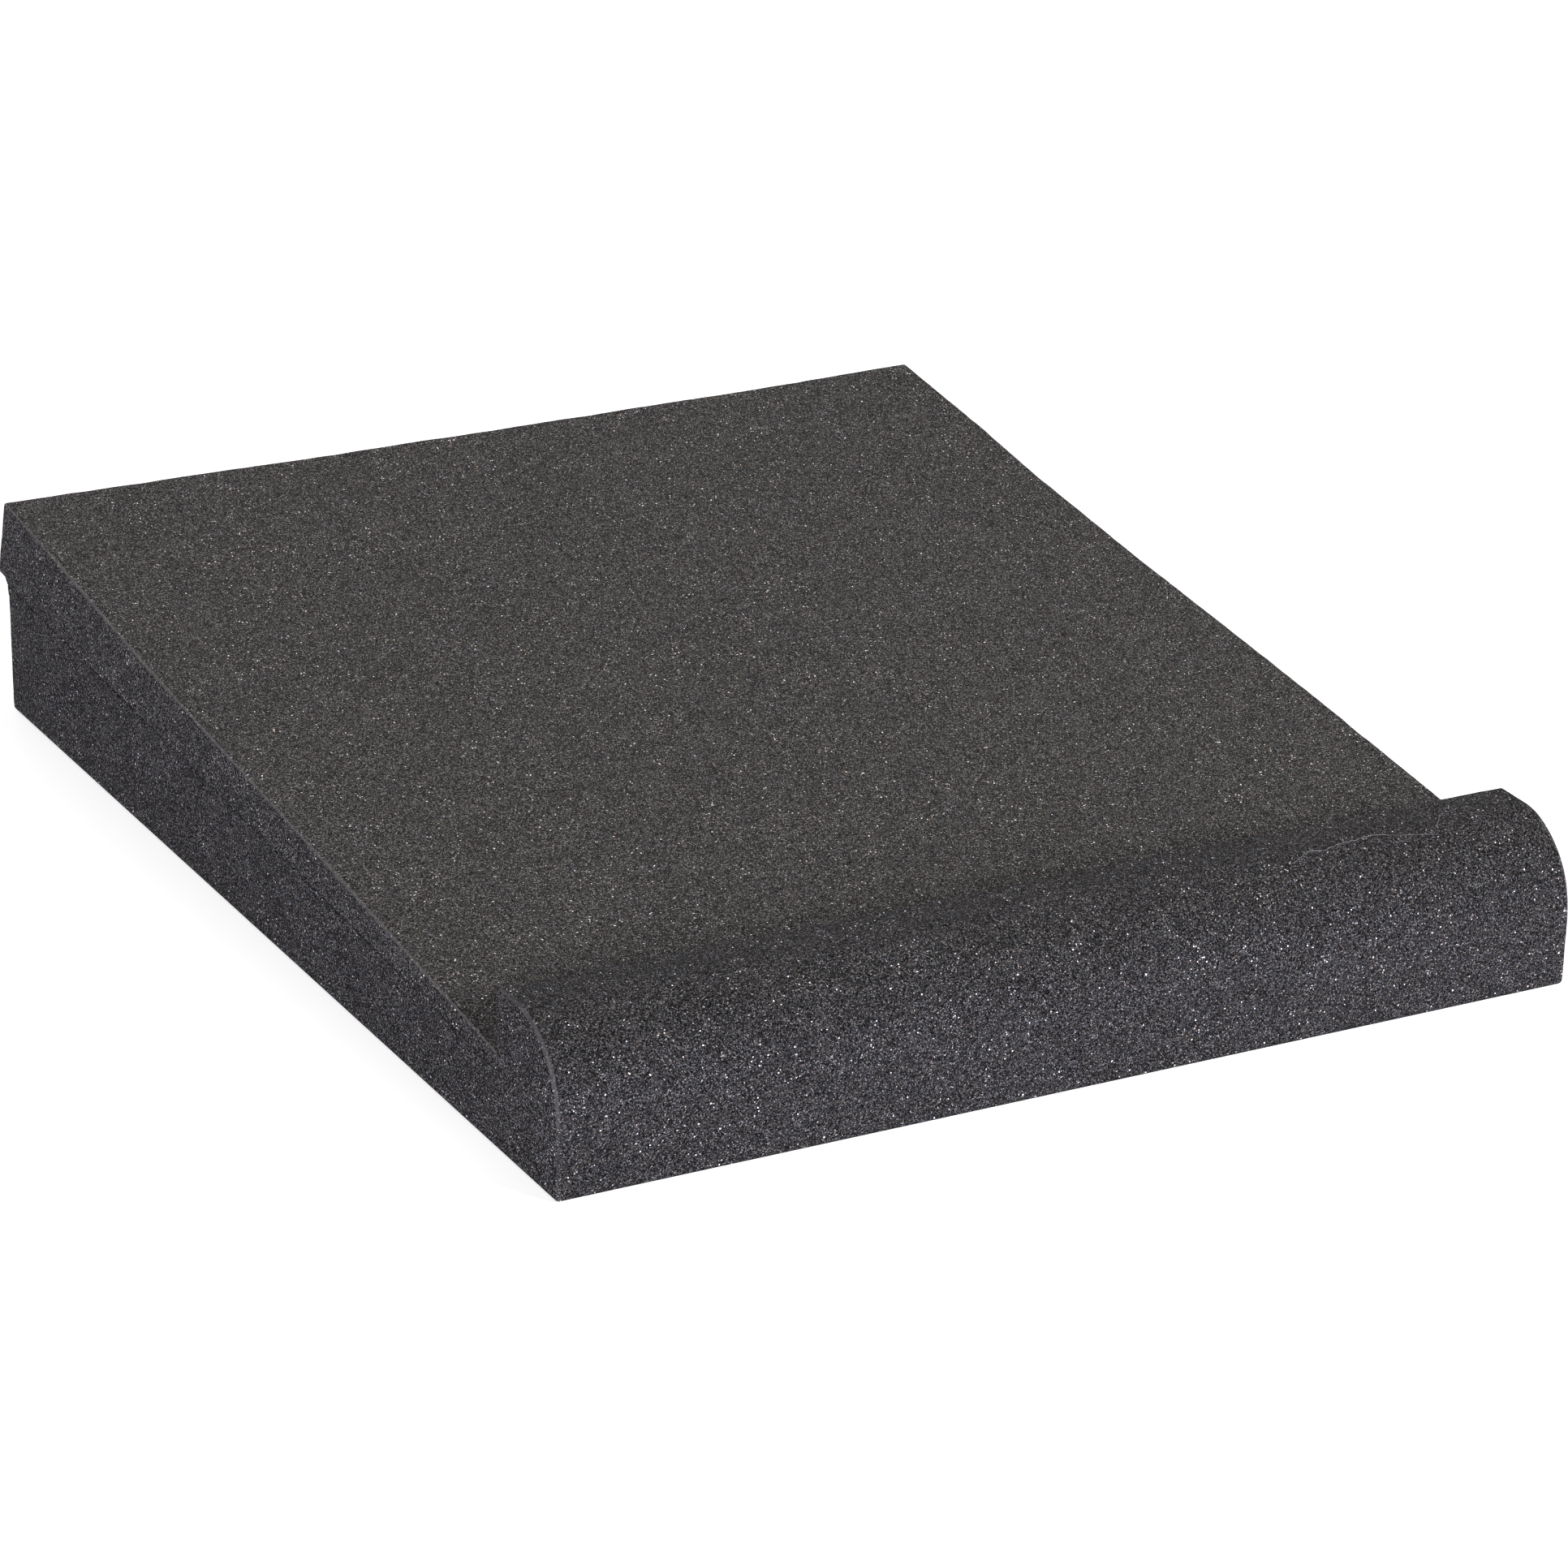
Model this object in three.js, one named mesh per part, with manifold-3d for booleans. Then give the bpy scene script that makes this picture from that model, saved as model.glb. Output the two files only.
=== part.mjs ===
// Speaker isolation pad: a foam base with a raised front lip, and a loose foam wedge that rests on it.
// Millimetres and degrees. The front faces -Y and the base stands on Z = 0.
// The origin is the middle of the base's underside.
//
// Both pieces come out of one softened block. The seat is cut out of it last, so the block's outer edges
// are rounded while the seam between base and wedge stays crisp, as on the real pad.
import * as THREE from "three";
import { mergeVertices } from "three/addons/utils/BufferGeometryUtils.js";
import Module from "manifold-3d";

const wasm = await Module();
wasm.setup();

// Driving dimensions
const WIDTH = 250; // side to side, along X
const BASE_DEPTH = 300; // front face to back face of the base
const BASE_THICKNESS_AT_LIP = 17.9; // where the sloped seat meets the lip
const BASE_THICKNESS_AT_BACK = 31.5;
const LIP_HEIGHT = 37.2; // above the floor
const LIP_THICKNESS = 28.4; // front face to back face of the lip
const LIP_ROUND_RADIUS = 20.2; // the lip's upper front edge
const WEDGE_THIN_END = 4.4; // thickness behind the lip
const WEDGE_THICK_END = 20.7; // thickness over the base's back face
const WEDGE_OVERHANG = 6.5; // how far its lower back edge stands past the base
const WEDGE_BACK_LEAN = 13.3; // degrees from upright, the top further forward
const SEAT_CLEARANCE = 0.3; // between the wedge and the base, under it and in front of it
const LONG_EDGE_SOFTNESS = 1.1; // radius of the edges that run from side to side
const END_EDGE_SOFTNESS = 1; // radius of the edges round the two sides

// Fineness of the facets
const ARC_DIVISIONS = 6;
const END_EDGE_STEPS = 4;

// Places worked out from the dimensions
const frontFace = -BASE_DEPTH / 2;
const backFace = BASE_DEPTH / 2;
const lipBackFace = frontFace + LIP_THICKNESS;
const wedgeFront = lipBackFace + SEAT_CLEARANCE;

// Height at y of the straight line through two known points of a side view.
function lineHeight(y, start, end) {
  return start.y + ((end.y - start.y) * (y - start.x)) / (end.x - start.x);
}

function seatHeight(y) {
  return lineHeight(
    y,
    new THREE.Vector2(lipBackFace, BASE_THICKNESS_AT_LIP),
    new THREE.Vector2(backFace, BASE_THICKNESS_AT_BACK),
  );
}

function wedgeUnderside(y) {
  return seatHeight(y) + SEAT_CLEARANCE;
}

function wedgeTop(y) {
  return lineHeight(
    y,
    new THREE.Vector2(wedgeFront, wedgeUnderside(wedgeFront) + WEDGE_THIN_END),
    new THREE.Vector2(backFace, wedgeUnderside(backFace) + WEDGE_THICK_END),
  );
}

// The wedge's upper back edge, where its leaning back face meets its sloped top.
function wedgeCrest() {
  const foot = backFace + WEDGE_OVERHANG;
  const run = Math.tan(THREE.MathUtils.degToRad(WEDGE_BACK_LEAN));
  const topRise = wedgeTop(1) - wedgeTop(0);
  const y =
    (foot + run * (wedgeUnderside(foot) - wedgeTop(0))) / (1 + run * topRise);
  return new THREE.Vector2(y, wedgeTop(y));
}

// A closed outline through the corners, each rounded by an arc that is tangent to both of its sides.
function roundedOutline(corners) {
  const outline = new THREE.Shape();
  corners.forEach(({ at, radius }, i) => {
    const before = corners.at(i - 1).at;
    const after = corners[(i + 1) % corners.length].at;
    const toBefore = before.clone().sub(at).normalize();
    const toAfter = after.clone().sub(at).normalize();
    if (radius === 0) {
      outline[i ? "lineTo" : "moveTo"](at.x, at.y);
      return;
    }
    const halfAngle = Math.acos(toBefore.dot(toAfter)) / 2;
    const inset = radius / Math.tan(halfAngle);
    const start = toBefore.clone().multiplyScalar(inset).add(at);
    const end = toAfter.clone().multiplyScalar(inset).add(at);
    const centre = toBefore
      .clone()
      .add(toAfter)
      .setLength(radius / Math.sin(halfAngle))
      .add(at);
    const startAngle = start.clone().sub(centre).angle();
    const endAngle = end.clone().sub(centre).angle();
    const turnsRight = toBefore.cross(toAfter) > 0;
    outline[i ? "lineTo" : "moveTo"](start.x, start.y);
    outline.absarc(centre.x, centre.y, radius, startAngle, endAngle, turnsRight);
  });
  outline.closePath();
  return outline;
}

function corner(y, z, radius = 0) {
  return { at: new THREE.Vector2(y, z), radius };
}

// The side view of the whole pad, base and wedge as one, anticlockwise from the lower front edge.
function padOutline() {
  const foot = backFace + WEDGE_OVERHANG;
  const crest = wedgeCrest();
  const soft = LONG_EDGE_SOFTNESS;
  return roundedOutline([
    corner(frontFace, 0, soft),
    corner(backFace, 0, soft),
    corner(backFace, wedgeUnderside(backFace)),
    corner(foot, wedgeUnderside(foot), soft),
    corner(crest.x, crest.y, soft),
    corner(lipBackFace, wedgeTop(lipBackFace)),
    corner(lipBackFace, LIP_HEIGHT, soft),
    corner(frontFace, LIP_HEIGHT, LIP_ROUND_RADIUS),
  ]);
}

// The space over a sloped line of the side view and behind y = front, further back and up than the pad.
function spaceAbove(height, front) {
  const farBack = backFace + BASE_DEPTH;
  const farUp = LIP_HEIGHT + wedgeTop(farBack);
  return new THREE.Shape([
    new THREE.Vector2(front, height(front)),
    new THREE.Vector2(farBack, height(farBack)),
    new THREE.Vector2(farBack, farUp),
    new THREE.Vector2(front, farUp),
  ]);
}

// Runs a side view from side to side, centred on X = 0, with its end edges rounded inside the outline.
function acrossWidth(outline, width, softness = 0) {
  const geometry = new THREE.ExtrudeGeometry(outline, {
    depth: width - 2 * softness,
    curveSegments: ARC_DIVISIONS,
    bevelEnabled: softness > 0,
    bevelThickness: softness,
    bevelSize: softness,
    bevelOffset: -softness,
    bevelSegments: END_EDGE_STEPS,
  });
  geometry.translate(0, 0, softness - width / 2);
  const sideView = new THREE.Matrix4().makeBasis(
    new THREE.Vector3(0, 1, 0),
    new THREE.Vector3(0, 0, 1),
    new THREE.Vector3(1, 0, 0),
  );
  return geometry.applyMatrix4(sideView);
}

function toSolid(geometry) {
  geometry.deleteAttribute("normal");
  geometry.deleteAttribute("uv");
  const merged = mergeVertices(geometry);
  return new wasm.Manifold(
    new wasm.Mesh({
      numProp: 3,
      vertProperties: merged.attributes.position.array,
      triVerts: new Uint32Array(merged.index.array),
    }),
  );
}

function toMesh(name, solid, colour) {
  const { vertProperties, triVerts } = solid.getMesh();
  const geometry = new THREE.BufferGeometry();
  geometry.setAttribute(
    "position",
    new THREE.BufferAttribute(vertProperties, 3),
  );
  geometry.setIndex(new THREE.BufferAttribute(triVerts, 1));
  geometry.computeVertexNormals();
  const foam = new THREE.MeshStandardMaterial({
    color: colour,
    roughness: 1,
    metalness: 0,
  });
  const mesh = new THREE.Mesh(geometry, foam);
  mesh.name = name;
  return mesh;
}

const cutWidth = 2 * WIDTH;
const block = toSolid(acrossWidth(padOutline(), WIDTH, END_EDGE_SOFTNESS));
const seat = toSolid(acrossWidth(spaceAbove(seatHeight, lipBackFace), cutWidth));
const wedgeSpace = toSolid(
  acrossWidth(spaceAbove(wedgeUnderside, wedgeFront), cutWidth),
);

const pad = new THREE.Group();
pad.add(toMesh("base_pad", block.subtract(seat), "#484749"));
pad.add(toMesh("wedge_insert", block.intersect(wedgeSpace), "#4d4b4a"));

export default pad;
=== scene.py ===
"""Speaker isolation pad: the looks of its two foam pieces on the CAD frame. Metres, front towards -Y."""
import math

import bpy
import numpy as np
from mathutils import Matrix, Vector, noise
from mathutils.geometry import delaunay_2d_cdt


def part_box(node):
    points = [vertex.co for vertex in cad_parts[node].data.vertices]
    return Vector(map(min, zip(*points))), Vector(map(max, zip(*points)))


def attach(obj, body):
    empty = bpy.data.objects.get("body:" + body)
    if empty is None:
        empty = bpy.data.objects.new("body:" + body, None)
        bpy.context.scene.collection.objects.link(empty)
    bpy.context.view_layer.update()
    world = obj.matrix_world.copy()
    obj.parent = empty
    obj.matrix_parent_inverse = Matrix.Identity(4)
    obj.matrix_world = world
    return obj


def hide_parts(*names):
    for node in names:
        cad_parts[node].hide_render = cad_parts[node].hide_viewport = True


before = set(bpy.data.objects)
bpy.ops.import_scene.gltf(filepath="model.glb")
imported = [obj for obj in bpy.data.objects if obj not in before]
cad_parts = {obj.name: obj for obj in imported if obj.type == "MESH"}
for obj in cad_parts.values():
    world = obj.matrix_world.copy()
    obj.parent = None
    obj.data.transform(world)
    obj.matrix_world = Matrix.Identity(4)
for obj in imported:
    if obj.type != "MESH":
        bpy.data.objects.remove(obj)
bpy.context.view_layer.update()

MM = 0.001

# The camera, as the photograph's perspective gives it
FRAME_PIXELS = 1932
FOCAL_PIXELS = 7392.6
SENSOR_WIDTH = 36.0
CAMERA_AT = Vector((-0.61614, -1.13148, 0.55154))
CAMERA_LOOKS_ALONG = Vector((0.445987, 0.808022, -0.384963))
CAMERA_ROLL = math.radians(1.3971)

# Sizes of the pad's side view in millimetres: those that the CAD's boxes give, and the rest as in its source
base_low, base_high = (np.array(v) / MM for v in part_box("base_pad"))
wedge_low, wedge_high = (np.array(v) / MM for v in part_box("wedge_insert"))
HALF_WIDTH = base_high[0]
FRONT = base_low[1]
BACK = base_high[1]
LIP_HEIGHT = base_high[2]
SEAT_CLEARANCE = 0.3
LIP_BACK = wedge_low[1] - SEAT_CLEARANCE
BASE_THICKNESS_AT_LIP = 17.9
BASE_THICKNESS_AT_BACK = 31.5
LIP_ROUND_RADIUS = 20.2
WEDGE_THIN_END = 4.4
WEDGE_THICK_END = 20.7
WEDGE_FOOT = BACK + 6.5
WEDGE_CREST = BACK + 1.7

# What the looks add, in millimetres: the foam squeezes the seam almost shut, the base's back face lies
# further forward at its foot and flares below the seam, and the underside of the wedge's overhang curls up
SEAM_GAP = 0.06
BACK_LEAN = 1.2
FLARE_START = 2.2
FLARE = 0.6
CURL_REACH = 1.4
CURL = 1.3

# How soft the foam's edges are, in millimetres
LONG_EDGE = 1.1
CREST_EDGE = 0.75
BASE_END_EDGE = 1.0
WEDGE_END_EDGE = 0.7
SEAM_EDGE = 0.4

# Spacing of the meshes' points in millimetres, the steps round an end edge, and how the points in an end
# face are shifted at random and kept off its edge, as shares of the spacing
ARC_SPACING = 0.5
SEEN_SPACING = 1.1
HIDDEN_SPACING = 10.0
END_STEPS = 4
JITTER = 0.12
CLEAR_OF_EDGE = 0.6

# The foam's unevenness: size of the lumps and how far they stand out, and the heights above a flat face
# between which the foam comes free to be uneven, in millimetres
LUMPS = ((30, 0.2), (6, 0.11), (2.2, 0.045))
FREE_OF_FLOOR = (0.2, 3)
FREE_OF_SEAT = (0.1, 1.5)
FREE_OF_LIP = 1.0

# Seeds of the random draws
BASE_SEED = 11
WEDGE_SEED = 12
LINT_SEED = 21
BASE_LUMPS_SEED = 1
WEDGE_LUMPS_SEED = 5

# The wedge's top off its plane, in millimetres: a shallow dish, a tilt at the lip and a sag of the back edge
DISH_DEPTH = 1.2
DISH_MIDDLE = 61
DISH_REACH = 78
TILT_AT_LIP = 0.7
BACK_EDGE_SAG = 0.65


def line_height(y, start, end):
    """Height at y of the straight line through two (y, z) points."""
    return start[1] + (end[1] - start[1]) * (y - start[0]) / (end[0] - start[0])


def seat_height(y):
    """The base's sloped seat, raised to close most of the gap under the wedge."""
    raised = (SEAT_CLEARANCE - SEAM_GAP) / 2
    return raised + line_height(y, (LIP_BACK, BASE_THICKNESS_AT_LIP), (BACK, BASE_THICKNESS_AT_BACK))


def wedge_under(y):
    return seat_height(y) + SEAM_GAP


def wedge_top(y):
    thin = BASE_THICKNESS_AT_LIP + SEAT_CLEARANCE + WEDGE_THIN_END
    thick = BASE_THICKNESS_AT_BACK + SEAT_CLEARANCE + WEDGE_THICK_END
    return line_height(y, (LIP_BACK, thin), (BACK, thick))


def unit(vector):
    return vector / np.linalg.norm(vector)


class SideView:
    """A closed side view: its points, its outward normals, scaled so that an inset keeps straight sides
    parallel, and how far each point draws in at the piece's two ends."""

    def __init__(self, corners):
        """A corner is (y, z, radius, spacing, end radius), the last two for the side that follows it. The
        corners go anticlockwise seen from +X."""
        self.corners = corners
        self.places = [np.array(corner[:2], float) for corner in corners]
        points, radii = [], []
        for i in range(len(corners)):
            self.add_arc(i, points, radii)
            self.add_side(i, points, radii)
        self.points = np.array(points)
        self.radii = np.array(radii)
        along = np.roll(self.points, -1, 0) - self.points
        along /= np.linalg.norm(along, axis=1)[:, None]
        sideways = np.stack([along[:, 1], -along[:, 0]], 1)
        normals = sideways + np.roll(sideways, 1, 0)
        self.normals = normals / np.sum(normals * sideways, 1)[:, None]

    def bend(self, i):
        """The arc at corner i: its centre, its start and end, or the corner itself where it is sharp."""
        at, radius = self.places[i], self.corners[i][2]
        if radius == 0:
            return None, at, at
        back = unit(self.places[i - 1] - at)
        ahead = unit(self.places[(i + 1) % len(self.places)] - at)
        half = math.acos(np.dot(back, ahead)) / 2
        inset = radius / math.tan(half)
        centre = at + unit(back + ahead) * radius / math.sin(half)
        return centre, at + back * inset, at + ahead * inset

    def add_arc(self, i, points, radii):
        centre, start, end = self.bend(i)
        if centre is None:
            return
        radius = self.corners[i][2]
        first = math.atan2(start[1] - centre[1], start[0] - centre[0])
        turn = math.atan2(end[1] - centre[1], end[0] - centre[0]) - first
        turn = (turn + math.pi) % (2 * math.pi) - math.pi
        steps = max(4, math.ceil(abs(turn) * radius / ARC_SPACING))
        before, after = self.corners[i - 1][4], self.corners[i][4]
        for k in range(steps):
            angle = first + turn * k / steps
            points.append(centre + radius * np.array((math.cos(angle), math.sin(angle))))
            radii.append(before + (after - before) * k / steps)

    def add_side(self, i, points, radii):
        start = self.bend(i)[2]
        end = self.bend((i + 1) % len(self.places))[1]
        spacing, end_radius = self.corners[i][3:]
        steps = max(1, math.ceil(np.linalg.norm(end - start) / spacing))
        for k in range(steps):
            points.append(start + (end - start) * k / steps)
            radii.append(end_radius)


def inside(points, loop, margin):
    """Which points lie inside a closed loop and at least margin from its points."""
    crossings = np.zeros(len(points), int)
    nearest = np.full(len(points), np.inf)
    for (y0, z0), (y1, z1) in zip(loop, np.roll(loop, -1, 0)):
        spans = (z0 > points[:, 1]) != (z1 > points[:, 1])
        if spans.any():
            cut = y0 + (y1 - y0) * (points[:, 1] - z0) / (z1 - z0)
            crossings += spans & (points[:, 0] < cut)
        nearest = np.minimum(nearest, np.linalg.norm(points - (y0, z0), axis=1))
    return (crossings % 2 == 1) & (nearest > margin)


def end_face(loop, rng):
    """Triangles that fill a closed loop, with jittered points inside it. The loop's points come first."""
    low, high = loop.min(0), loop.max(0)
    row_height = SEEN_SPACING * math.sqrt(3) / 2
    ys = np.arange(low[0], high[0], SEEN_SPACING)
    zs = np.arange(low[1] + SEEN_SPACING / 2, high[1], row_height)
    grid = np.array([(y + (k % 2) * SEEN_SPACING / 2, z) for k, z in enumerate(zs) for y in ys])
    grid += rng.uniform(-JITTER, JITTER, grid.shape) * SEEN_SPACING
    grid = grid[inside(grid, loop, SEEN_SPACING * CLEAR_OF_EDGE)]
    points = [Vector(p) for p in np.vstack([loop, grid])]
    edges = [(i, (i + 1) % len(loop)) for i in range(len(loop))]
    made = delaunay_2d_cdt(points, edges, [], 1, 1e-9)
    origin = [group[0] for group in made[3]]
    return grid, [[origin[v] for v in face] for face in made[2]]


def foam_block(corners, seed):
    """A closed foam piece with one side view across its whole width and its end edges rounded. Gives the
    vertices in millimetres and the faces."""
    rng = np.random.default_rng(seed)
    view = SideView(corners)
    count = len(view.points)
    widest = view.radii.max()
    steps = round(2 * HALF_WIDTH / SEEN_SPACING)
    middle = np.linspace(widest - HALF_WIDTH, HALF_WIDTH - widest, steps)[1:-1]
    angles = np.linspace(math.pi / 2, 0, END_STEPS + 1)

    def end_ring(side, angle):
        x = side * (HALF_WIDTH - view.radii + view.radii * math.sin(angle))
        inset = view.radii * (1 - math.cos(angle))
        return np.column_stack([x, view.points - view.normals * inset[:, None]])

    rings = [end_ring(-1, angle) for angle in angles]
    rings += [np.column_stack([np.full(count, x), view.points]) for x in middle]
    rings += [end_ring(1, angle) for angle in angles[::-1]]
    faces = []
    for first in range(0, (len(rings) - 1) * count, count):
        for k in range(count):
            a, b = first + k, first + (k + 1) % count
            faces.append((a, b, b + count, a + count))
    parts = list(rings)
    total = len(rings) * count
    for side, first in ((-1, 0), (1, (len(rings) - 1) * count)):
        loop = rings[0 if side < 0 else -1][:, 1:]
        grid, triangles = end_face(loop, rng)
        parts.append(np.column_stack([np.full(len(grid), side * HALF_WIDTH), grid]))
        for triangle in triangles:
            ids = [first + v if v < count else total + v - count for v in triangle]
            faces.append(ids if side > 0 else ids[::-1])
        total += len(grid)
    return np.vstack(parts), faces


def new_object(name, vertices, faces):
    mesh = bpy.data.meshes.new(name)
    mesh.from_pydata((vertices * MM).tolist(), [], faces)
    mesh.validate()
    mesh.update()
    mesh.polygons.foreach_set("use_smooth", [True] * len(mesh.polygons))
    piece = bpy.data.objects.new(name, mesh)
    bpy.context.scene.collection.objects.link(piece)
    return piece


def waves(vertices, size, seed):
    """Smooth noise from -1 to 1 whose lumps are about size millimetres across."""
    shift = Vector((seed * 13.7, seed * 7.3, seed * 3.1))
    return np.array([noise.noise(Vector(v) / size + shift) for v in vertices])


def roughen(piece, vertices, free, seed):
    """Moves each vertex along its normal by the foam's unevenness, times how free it is, from 0 to 1."""
    normals = np.zeros(vertices.size, np.float32)
    piece.data.vertices.foreach_get("normal", normals)
    push = sum(height * waves(vertices, size, seed + k) for k, (size, height) in enumerate(LUMPS))
    moved = vertices + normals.reshape(-1, 3) * (push * free)[:, None]
    piece.data.vertices.foreach_set("co", (moved * MM).ravel())
    piece.data.update()


def smoothstep(value, low, high):
    t = np.clip((value - low) / (high - low), 0, 1)
    return t * t * (3 - 2 * t)


def make_base():
    """The base with its lip. Its underside and its seat stay flat, so only the other faces are uneven."""
    flare_top = BACK + FLARE
    flare_foot = seat_height(BACK) - FLARE_START
    corners = [
        (FRONT, 0, LONG_EDGE, HIDDEN_SPACING, BASE_END_EDGE),
        (BACK - BACK_LEAN, 0, LONG_EDGE, SEEN_SPACING, BASE_END_EDGE),
        (BACK, flare_foot, FLARE, ARC_SPACING, SEAM_EDGE),
        (flare_top, seat_height(flare_top), 0, HIDDEN_SPACING, SEAM_EDGE),
        (LIP_BACK, seat_height(LIP_BACK), 0, SEEN_SPACING, SEAM_EDGE),
        (LIP_BACK, LIP_HEIGHT, LONG_EDGE, SEEN_SPACING, BASE_END_EDGE),
        (FRONT, LIP_HEIGHT, LIP_ROUND_RADIUS, SEEN_SPACING, BASE_END_EDGE),
    ]
    vertices, faces = foam_block(corners, BASE_SEED)
    piece = new_object("base_foam_pad", vertices, faces)
    y, z = vertices[:, 1], vertices[:, 2]
    off_floor = smoothstep(z, *FREE_OF_FLOOR)
    behind_lip = y > LIP_BACK - FREE_OF_LIP
    off_seat = smoothstep(seat_height(y) - z, *FREE_OF_SEAT)
    above_wedge = smoothstep(z, wedge_top(LIP_BACK), wedge_top(LIP_BACK) + FREE_OF_LIP)
    free = off_floor * np.maximum(np.where(behind_lip, off_seat, 1), above_wedge)
    roughen(piece, vertices, free, BASE_LUMPS_SEED)
    return piece


def top_sag(x, y):
    """How far the wedge's top lies off its plane."""
    dish = DISH_DEPTH * np.exp(-(((y - DISH_MIDDLE) / DISH_REACH) ** 2))
    curl = 1 - smoothstep(y, DISH_MIDDLE, WEDGE_CREST)
    tilt = TILT_AT_LIP * x / HALF_WIDTH * (WEDGE_CREST - y) / (WEDGE_CREST - LIP_BACK)
    back_edge = BACK_EDGE_SAG * (1 - (x / HALF_WIDTH) ** 2) * smoothstep(y, DISH_MIDDLE, WEDGE_CREST)
    return tilt - dish * curl - back_edge


def make_wedge():
    """The loose wedge. Its underside and thin end stay flat, and its top follows top_sag."""
    front = LIP_BACK + SEAM_GAP
    curl_start = BACK + FLARE
    curl_end = curl_start + CURL_REACH
    corners = [
        (front, wedge_under(front), 0, HIDDEN_SPACING, SEAM_EDGE),
        (curl_start, wedge_under(curl_start), 0, ARC_SPACING, SEAM_EDGE),
        (curl_end, wedge_under(curl_end) + CURL, 0, SEEN_SPACING, SEAM_EDGE),
        (WEDGE_FOOT, wedge_under(WEDGE_FOOT) + CURL, LONG_EDGE, SEEN_SPACING, WEDGE_END_EDGE),
        (WEDGE_CREST, wedge_top(WEDGE_CREST), CREST_EDGE, SEEN_SPACING, WEDGE_END_EDGE),
        (front, wedge_top(front), CREST_EDGE, SEEN_SPACING, SEAM_EDGE),
    ]
    vertices, faces = foam_block(corners, WEDGE_SEED)
    y, z = vertices[:, 1], vertices[:, 2]
    rise = np.clip((z - wedge_under(y)) / (wedge_top(y) - wedge_under(y)), 0, 1)
    vertices[:, 2] += top_sag(vertices[:, 0], y) * rise
    piece = new_object("wedge_foam_insert", vertices, faces)
    off_seat = smoothstep(z - wedge_under(y), *FREE_OF_SEAT)
    off_lip = smoothstep(y - front, *FREE_OF_SEAT)
    roughen(piece, vertices, off_seat * off_lip, WEDGE_LUMPS_SEED)
    return piece


def srgb(*values):
    """Scene-linear colour of 8-bit display values."""
    linear = []
    for value in values:
        share = value / 255
        linear.append(share / 12.92 if share <= 0.04045 else ((share + 0.055) / 1.055) ** 2.4)
    return (*linear, 1.0)


class Nodes:
    """A short way to write a node tree."""

    def __init__(self, owner):
        owner.use_nodes = True
        self.tree = owner.node_tree
        self.tree.nodes.clear()

    def add(self, kind):
        return self.tree.nodes.new(kind)

    def put(self, socket, value):
        """Links a socket to another node's output, or sets its value."""
        if isinstance(value, bpy.types.NodeSocket):
            self.tree.links.new(value, socket)
        else:
            socket.default_value = value

    def maths(self, operation, a, b=0.0):
        node = self.add("ShaderNodeMath")
        node.operation = operation
        self.put(node.inputs[0], a)
        self.put(node.inputs[1], b)
        return node.outputs[0]

    def mix(self, factor, a, b):
        node = self.add("ShaderNodeMix")
        node.data_type = "RGBA"
        self.put(node.inputs["Factor"], factor)
        self.put(node.inputs[6], a)
        self.put(node.inputs[7], b)
        return node.outputs[2]

    def scaled(self, colour, factor):
        node = self.add("ShaderNodeVectorMath")
        node.operation = "SCALE"
        self.put(node.inputs[0], colour)
        self.put(node.inputs["Scale"], factor)
        return node.outputs[0]

    def times(self, a, b):
        node = self.add("ShaderNodeVectorMath")
        node.operation = "MULTIPLY"
        self.put(node.inputs[0], a)
        self.put(node.inputs[1], b)
        return node.outputs[0]

    def noise(self, place, size, detail=2.0):
        """Smooth noise from 0 to 1 whose lumps are about size metres across."""
        node = self.add("ShaderNodeTexNoise")
        self.put(node.inputs["Vector"], place)
        node.inputs["Scale"].default_value = 1 / size
        node.inputs["Detail"].default_value = detail
        return node.outputs[0]

    def cells(self, place, size):
        """Three random numbers for each cell of size metres, and the distance from its middle in cells."""
        node = self.add("ShaderNodeTexVoronoi")
        self.put(node.inputs["Vector"], place)
        node.inputs["Scale"].default_value = 1 / size
        split = self.add("ShaderNodeSeparateColor")
        self.put(split.inputs[0], node.outputs["Color"])
        return (*split.outputs[:3], node.outputs["Distance"])

    def ramp(self, factor, stops, interpolation="LINEAR"):
        """A value or a colour that follows factor through (position, value) stops."""
        node = self.add("ShaderNodeValToRGB")
        node.color_ramp.interpolation = interpolation
        elements = node.color_ramp.elements
        while len(elements) < len(stops):
            elements.new(0.5)
        for element, (position, value) in zip(elements, stops):
            element.position = position
            element.color = value if isinstance(value, tuple) else (value, value, value, 1)
        self.put(node.inputs[0], factor)
        return node.outputs[0]


# The foam's colours on its sides and top, and how much of the grain and of the painted glints its top shows
# The top and side colours differ as painted light and shade by facing: the wedge's top is painted lighter
BASE_SIDE = srgb(64, 63, 66.5)
BASE_TOP = srgb(65, 64, 65.5)
BASE_TOP_GRAIN = 1.0
BASE_TOP_GLINTS = 0.9
WEDGE_SIDE = srgb(67, 66, 69)
WEDGE_TOP = srgb(79, 77.5, 77)
WEDGE_TOP_GRAIN = 0.98
WEDGE_TOP_GLINTS = 0.75

# The foam's grain: size of its cells, and how bright they are as shares of the foam's colour
CELL_SIZE = 0.19 * MM
CELL_SHARES = ((0, 0.05), (0.3, 0.25), (0.6, 0.7), (0.85, 1.6), (0.96, 3.4), (1, 7))
DARKEST_SHARE = 0.05
MOTTLE_SIZE = 14 * MM
MOTTLE_DETAIL = 3.0
MOTTLE = 0.2
BUMP_HEIGHT = 0.12 * MM
BUMP_STRENGTH = 0.5
ROUGHNESS = 0.92
SPECULAR = 0.05
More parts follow.
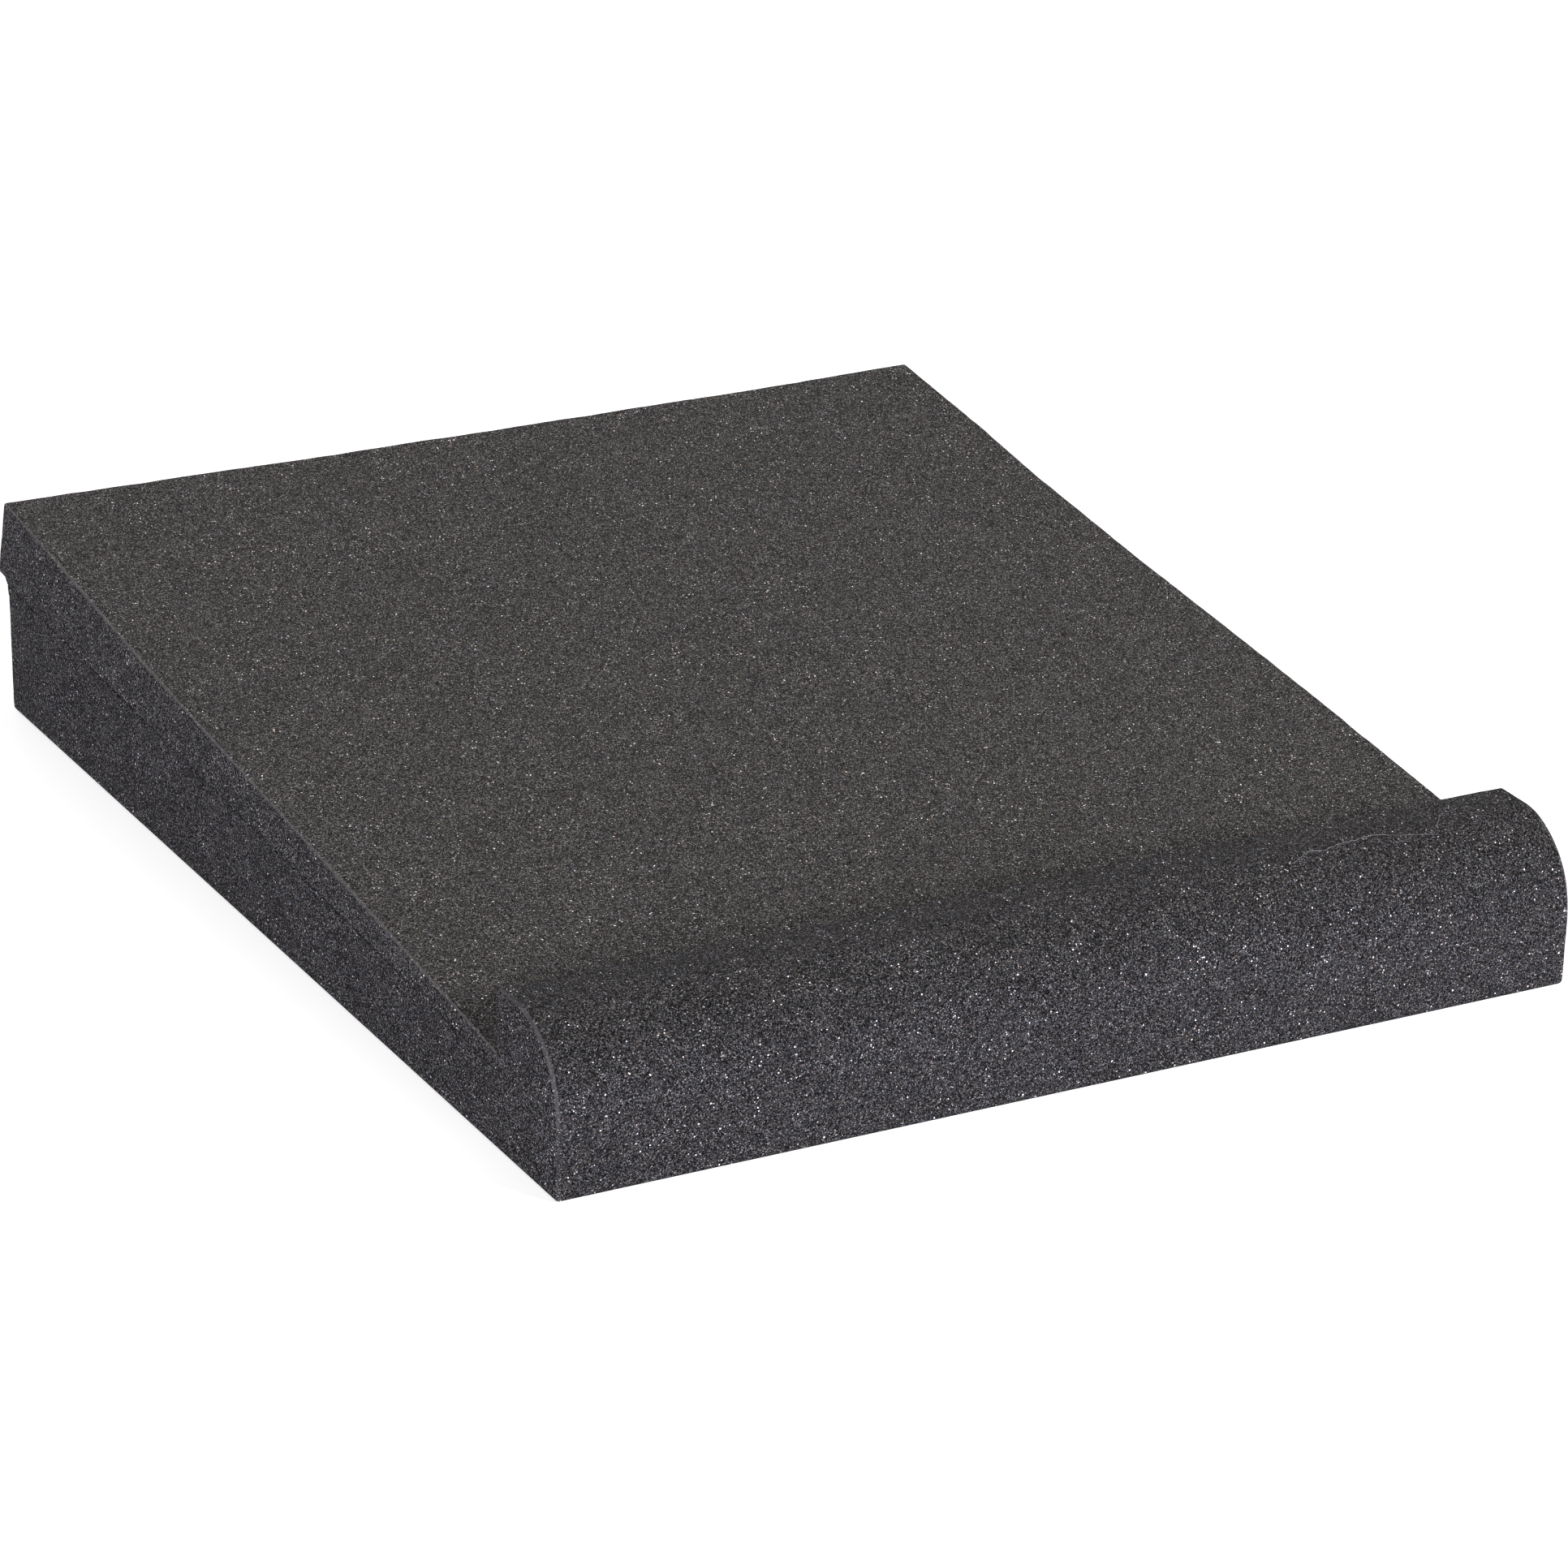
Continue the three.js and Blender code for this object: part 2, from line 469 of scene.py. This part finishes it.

# Painted highlights of struts that glint: their size, which of them glint, how brightly, and the loose
# patches that they lie in
GLINT_SIZE = 0.25 * MM
GLINT_FROM = 0.985
GLINT_SHARE = 50.0
GLINT_PATCH = 3.5 * MM
PATCH_DETAIL = 1.0
PATCH_SHARE = ((0.45, 0.2), (0.62, 1))

# Tints of the cells, full where a strut glints and only by a share elsewhere
WHITE = (1, 1, 1, 1)
ORANGE = (1.25, 0.97, 0.76, 1)
BLUE = (0.8, 0.98, 1.25, 1)
PINK = (1.15, 0.92, 0.95, 1)
TINTS = ((0, WHITE), (0.6, ORANGE), (0.78, BLUE), (0.92, PINK))
PLAIN_TINT = 0.5

# How far up the foam faces where it takes its top's colour, and where painted shade darkens the lip's rounded
# edge
FACES_UP = ((0.35, 0), (0.85, 1))
BEND_PAINTED_SHADE = ((0.15, 1), (0.55, 0.87), (0.85, 0.87), (0.97, 1))

# How much the grain stands out, and how much more where the foam faces sideways
CONTRAST = 1.12
SIDE_CONTRAST = 0.8

# The painted highlight along the end edges, a pale line where the edge catches light: where it lies, by how
# far the surface faces sideways, how much of the grain still shows in it, what it adds, how patchy it is,
# between which heights it fades and to what share, and how near the seam it stops
END_HIGHLIGHT = ((0.15, 0), (0.45, 1), (0.88, 1), (0.98, 0))
END_HIGHLIGHT_GRAIN = 0.45
END_HIGHLIGHT_SHARE = 1.75
END_HIGHLIGHT_PATCH = 2.0 * MM
END_HIGHLIGHT_PATCHES = ((0.3, 0.7), (0.6, 1))
END_HIGHLIGHT_FOOT = (12 * MM, 24 * MM)
END_HIGHLIGHT_AT_FOOT = 0.35
SEAM_REACH = 1.5 * MM


def at_seam(n, place):
    """1 within the seam's reach of the sloped seat, behind the lip, else 0."""
    slope = (BASE_THICKNESS_AT_BACK - BASE_THICKNESS_AT_LIP) / (BACK - LIP_BACK)
    level = (seat_height(LIP_BACK) - slope * LIP_BACK) * MM
    seat = n.maths("ADD", n.maths("MULTIPLY", place.outputs["Y"], slope), level)
    off = n.maths("ABSOLUTE", n.maths("SUBTRACT", place.outputs["Z"], seat))
    near = n.maths("LESS_THAN", off, SEAM_REACH)
    return n.maths("MULTIPLY", near, n.maths("GREATER_THAN", place.outputs["Y"], LIP_BACK * MM))


def foam_material(name, side_colour, top_colour, top_grain, top_glints):
    """Open-cell foam: struts and pores that differ from cell to cell, with painted highlights of a few struts
    that glint.
    """
    material = bpy.data.materials.new(name)
    n = Nodes(material)
    coordinates = n.add("ShaderNodeTexCoord")
    place = coordinates.outputs["Object"]
    facing = n.add("ShaderNodeSeparateXYZ")
    n.put(facing.inputs[0], coordinates.outputs["Normal"])
    # The top's colour against the sides' is painted light and shade by which way the foam faces
    faces_up = n.ramp(facing.outputs["Z"], FACES_UP)
    colour = n.mix(faces_up, side_colour, top_colour)
    # Painted shade: the lip's rounded edge made darker by how far it faces up
    colour = n.scaled(colour, n.ramp(facing.outputs["Z"], BEND_PAINTED_SHADE))

    shade, tint, _, distance = n.cells(place, CELL_SIZE)
    brightest = CELL_SHARES[-1][1]
    share = n.ramp(shade, [(position, value / brightest) for position, value in CELL_SHARES])
    share = n.maths("MULTIPLY", share, brightest)
    mottle = n.noise(place, MOTTLE_SIZE, MOTTLE_DETAIL)
    share = n.maths("MULTIPLY", share, n.maths("ADD", n.maths("MULTIPLY", mottle, MOTTLE), 1 - MOTTLE / 2))

    # Painted highlights: a few cells made many times brighter in the colour, as struts that glint
    glint, _, strength, _ = n.cells(place, GLINT_SIZE)
    lit = n.maths("GREATER_THAN", glint, GLINT_FROM)
    patch = n.ramp(n.noise(place, GLINT_PATCH, PATCH_DETAIL), PATCH_SHARE)
    strength = n.maths("MULTIPLY", n.maths("POWER", strength, 2.0), GLINT_SHARE)
    patch = n.maths("MULTIPLY", patch, n.ramp(faces_up, ((0, 1), (1, top_glints))))
    glow = n.maths("MULTIPLY", n.maths("MULTIPLY", lit, patch), strength)
    sideways = n.maths("ABSOLUTE", facing.outputs["X"])
    contrast = n.maths("ADD", n.maths("MULTIPLY", sideways, SIDE_CONTRAST), CONTRAST)
    contrast = n.maths("MULTIPLY", contrast, n.ramp(faces_up, ((0, 1), (1, top_grain))))
    spread = n.maths("MULTIPLY", n.maths("SUBTRACT", share, 1.0), contrast)
    share = n.maths("MAXIMUM", n.maths("ADD", spread, 1.0), DARKEST_SHARE)
    share = n.maths("ADD", share, glow)
    tints = n.mix(n.maths("MAXIMUM", lit, PLAIN_TINT), WHITE, n.ramp(tint, TINTS, "CONSTANT"))

    height = n.add("ShaderNodeSeparateXYZ")
    n.put(height.inputs[0], place)
    # Painted highlight: a pale line on the rounded end edges, where they catch light
    on_highlight = n.ramp(sideways, END_HIGHLIGHT)
    patchy = n.ramp(n.noise(place, END_HIGHLIGHT_PATCH, PATCH_DETAIL), END_HIGHLIGHT_PATCHES)
    on_highlight = n.maths("MULTIPLY", on_highlight, patchy)
    fade = n.add("ShaderNodeMapRange")
    n.put(fade.inputs["Value"], height.outputs["Z"])
    fade.inputs["From Min"].default_value = END_HIGHLIGHT_FOOT[0]
    fade.inputs["From Max"].default_value = END_HIGHLIGHT_FOOT[1]
    fade.inputs["To Min"].default_value = END_HIGHLIGHT_AT_FOOT
    on_highlight = n.maths("MULTIPLY", on_highlight, fade.outputs["Result"])
    on_highlight = n.maths("MULTIPLY", on_highlight, n.maths("SUBTRACT", 1.0, at_seam(n, height)))
    grain_left = n.maths("SUBTRACT", 1.0, n.maths("MULTIPLY", on_highlight, 1 - END_HIGHLIGHT_GRAIN))
    share = n.maths("MULTIPLY", share, grain_left)
    share = n.maths("ADD", share, n.maths("MULTIPLY", on_highlight, END_HIGHLIGHT_SHARE))

    bump = n.add("ShaderNodeBump")
    bump.inputs["Strength"].default_value = BUMP_STRENGTH
    bump.inputs["Distance"].default_value = BUMP_HEIGHT
    n.put(bump.inputs["Height"], distance)

    shader = n.add("ShaderNodeBsdfPrincipled")
    shader.inputs["Roughness"].default_value = ROUGHNESS
    shader.inputs["Specular IOR Level"].default_value = SPECULAR
    n.put(shader.inputs["Base Color"], n.times(n.scaled(colour, share), tints))
    n.put(shader.inputs["Normal"], bump.outputs[0])
    n.put(n.add("ShaderNodeOutputMaterial").inputs[0], shader.outputs[0])
    return material


def dress(piece, node, material):
    piece.data.materials.append(material)
    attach(piece, "root")
    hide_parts(node)


# A lint fibre on the lip: (x in millimetres, degrees round the lip's upper front edge from the front face)
LONG_LINT = (
    (59.6, 70), (62.4, 74), (65.5, 79), (69, 76.3), (75, 80), (78, 81.2), (83, 81), (88.5, 77), (97.5, 71),
)
SHORT_LINT = ((102.6, 89), (100.8, 83.5), (99.3, 79), (98.8, 75.5))

# The fibre's radius and how it wavers along the lip, in millimetres, how it wavers round the lip, in degrees,
# how it rises off the foam in waves, in millimetres, and the steps of its mesh along it and round it
LINT_RADIUS = 0.065
LINT_WAVER = 0.12
LINT_TURN = 0.35
LINT_RISE = 0.2
LINT_WAVE = 0.15
LINT_WAVE_RATE = 2.3
LINT_STEPS = 8
LINT_SIDES = 6

# The fibre's look: dark as the foam in places and pale in others
LINT_PATCH = 2.5 * MM
LINT_SHADES = ((0.35, srgb(72, 71, 72)), (0.65, srgb(150, 148, 150)))
LINT_ROUGHNESS = 0.8


def on_lip(x, degrees, above):
    """The place above the lip's rounded edge, in millimetres."""
    angle = math.radians(180 - degrees)
    centre = (FRONT + LIP_ROUND_RADIUS, LIP_HEIGHT - LIP_ROUND_RADIUS)
    reach = LIP_ROUND_RADIUS + above
    return Vector((x, centre[0] + reach * math.cos(angle), centre[1] + reach * math.sin(angle)))


def lint_strand(route, rng):
    """A thin round strand through the route's points, wavering and rising off the foam a little."""
    stations = np.array(route)
    steps = LINT_STEPS * (len(stations) - 1)
    reach = np.linspace(0, len(stations) - 1, steps + 1)
    known = np.arange(len(stations))
    xs = np.interp(reach, known, stations[:, 0]) + rng.normal(0, LINT_WAVER, steps + 1)
    turns = np.interp(reach, known, stations[:, 1]) + rng.normal(0, LINT_TURN, steps + 1)
    rises = LINT_RISE + LINT_WAVE * np.sin(reach * LINT_WAVE_RATE)
    middle = [on_lip(x, turn, rise) for x, turn, rise in zip(xs, turns, rises)]
    vertices, faces = [], []
    for i, at in enumerate(middle):
        along = (middle[min(i + 1, steps)] - middle[max(i - 1, 0)]).normalized()
        across = along.cross(Vector((0, 0, 1))).normalized()
        upward = across.cross(along)
        for k in range(LINT_SIDES):
            angle = 2 * math.pi * k / LINT_SIDES
            vertices.append(at + (across * math.cos(angle) + upward * math.sin(angle)) * LINT_RADIUS)
    last = steps * LINT_SIDES
    for first in range(0, last, LINT_SIDES):
        for k in range(LINT_SIDES):
            a, b = first + k, first + (k + 1) % LINT_SIDES
            faces.append((a, a + LINT_SIDES, b + LINT_SIDES, b))
    faces.append(list(range(LINT_SIDES)))
    faces.append([last + k for k in reversed(range(LINT_SIDES))])
    return np.array(vertices), faces


def make_lint():
    """The pale fibre that lies on the lip, in two strands."""
    rng = np.random.default_rng(LINT_SEED)
    vertices, faces = [], []
    for route in (LONG_LINT, SHORT_LINT):
        points, strand = lint_strand(route, rng)
        start = sum(len(group) for group in vertices)
        vertices.append(points)
        faces += [[start + v for v in face] for face in strand]
    piece = new_object("lint_fibre", np.vstack(vertices), faces)
    material = bpy.data.materials.new("pale_lint")
    n = Nodes(material)
    place = n.add("ShaderNodeTexCoord").outputs["Object"]
    fade = n.ramp(n.noise(place, LINT_PATCH), LINT_SHADES)
    shader = n.add("ShaderNodeBsdfPrincipled")
    shader.inputs["Roughness"].default_value = LINT_ROUGHNESS
    n.put(shader.inputs["Base Color"], fade)
    n.put(n.add("ShaderNodeOutputMaterial").inputs[0], shader.outputs[0])
    piece.data.materials.append(material)
    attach(piece, "root")


# The floor: half its width in metres, how far it lies under the pad, how much of its white is lit, so that a
# shadow shows on it, and how much glows to the camera
FLOOR_HALF = 4.0
FLOOR_DROP = 0.05 * MM
FLOOR_LIT = 0.7
FLOOR_GLOW = 0.75
# Light from all round, which looks white to the camera
AMBIENT = 0.08


def seen_directly(n):
    """1 for rays from the camera, in reflections and through clear material, else 0."""
    path = n.add("ShaderNodeLightPath")
    first = n.maths("MAXIMUM", path.outputs["Is Camera Ray"], path.outputs["Is Glossy Ray"])
    return n.maths("MAXIMUM", first, path.outputs["Is Transmission Ray"])


def make_floor():
    """A white floor that keeps the pad's shadow, and looks white to the camera where nothing shades it."""
    mesh = bpy.data.meshes.new("floor")
    corners = [(x * FLOOR_HALF, y * FLOOR_HALF, 0) for x, y in ((-1, -1), (1, -1), (1, 1), (-1, 1))]
    mesh.from_pydata(corners, [], [(0, 1, 2, 3)])
    floor = bpy.data.objects.new("floor", mesh)
    bpy.context.scene.collection.objects.link(floor)
    floor.location.z = -FLOOR_DROP
    material = bpy.data.materials.new("white_floor")
    n = Nodes(material)
    diffuse = n.add("ShaderNodeBsdfDiffuse")
    diffuse.inputs["Color"].default_value = (FLOOR_LIT, FLOOR_LIT, FLOOR_LIT, 1)
    glow = n.add("ShaderNodeEmission")
    n.put(glow.inputs["Strength"], n.maths("MULTIPLY", seen_directly(n), FLOOR_GLOW))
    both = n.add("ShaderNodeAddShader")
    n.put(both.inputs[0], diffuse.outputs[0])
    n.put(both.inputs[1], glow.outputs[0])
    n.put(n.add("ShaderNodeOutputMaterial").inputs[0], both.outputs[0])
    mesh.materials.append(material)


def make_world():
    world = bpy.data.worlds.new("studio")
    bpy.context.scene.world = world
    n = Nodes(world)
    background = n.add("ShaderNodeBackground")
    background.inputs["Color"].default_value = WHITE
    strength = n.maths("ADD", n.maths("MULTIPLY", seen_directly(n), 1 - AMBIENT), AMBIENT)
    n.put(background.inputs["Strength"], strength)
    n.put(n.add("ShaderNodeOutputWorld").inputs[0], background.outputs[0])


def soft_light(name, place, size, power):
    """A square lamp that points at the pad."""
    data = bpy.data.lights.new(name, "AREA")
    data.shape = "SQUARE"
    data.size = size
    data.energy = power
    lamp = bpy.data.objects.new(name, data)
    bpy.context.scene.collection.objects.link(lamp)
    lamp.location = place
    lamp.rotation_euler = (-Vector(place)).to_track_quat("-Z", "Y").to_euler()


# The lamps: name, place and size in metres, and power in watts
LAMPS = (
    ("top_softbox", (0.2, 0.5, 2.2), 1.6, 13),
    ("front_softbox", (1.3, -2, 1.0), 0.7, 60),
    ("back_softbox", (0.3, 2.3, 0.3), 0.9, 22),
    ("left_softbox", (-1.9, -1.5, 0.45), 0.9, 37),
)


def make_camera():
    data = bpy.data.cameras.new("photo_camera")
    data.sensor_width = SENSOR_WIDTH
    data.lens = FOCAL_PIXELS / FRAME_PIXELS * SENSOR_WIDTH
    data.clip_end = 50
    camera = bpy.data.objects.new("photo_camera", data)
    bpy.context.scene.collection.objects.link(camera)
    camera.location = CAMERA_AT
    level = CAMERA_LOOKS_ALONG.normalized().to_track_quat("-Z", "Y").to_matrix()
    camera.rotation_euler = (level @ Matrix.Rotation(CAMERA_ROLL, 3, "Z")).to_euler()
    bpy.context.scene.camera = camera


make_camera()
make_world()
for lamp_name, lamp_place, lamp_size, lamp_power in LAMPS:
    soft_light(lamp_name, lamp_place, lamp_size, lamp_power)
make_floor()
base_foam = foam_material("base_foam", BASE_SIDE, BASE_TOP, BASE_TOP_GRAIN, BASE_TOP_GLINTS)
wedge_foam = foam_material("wedge_foam", WEDGE_SIDE, WEDGE_TOP, WEDGE_TOP_GRAIN, WEDGE_TOP_GLINTS)
dress(make_base(), "base_pad", base_foam)
dress(make_wedge(), "wedge_insert", wedge_foam)
make_lint()

bpy.context.scene.view_settings.view_transform = "Standard"
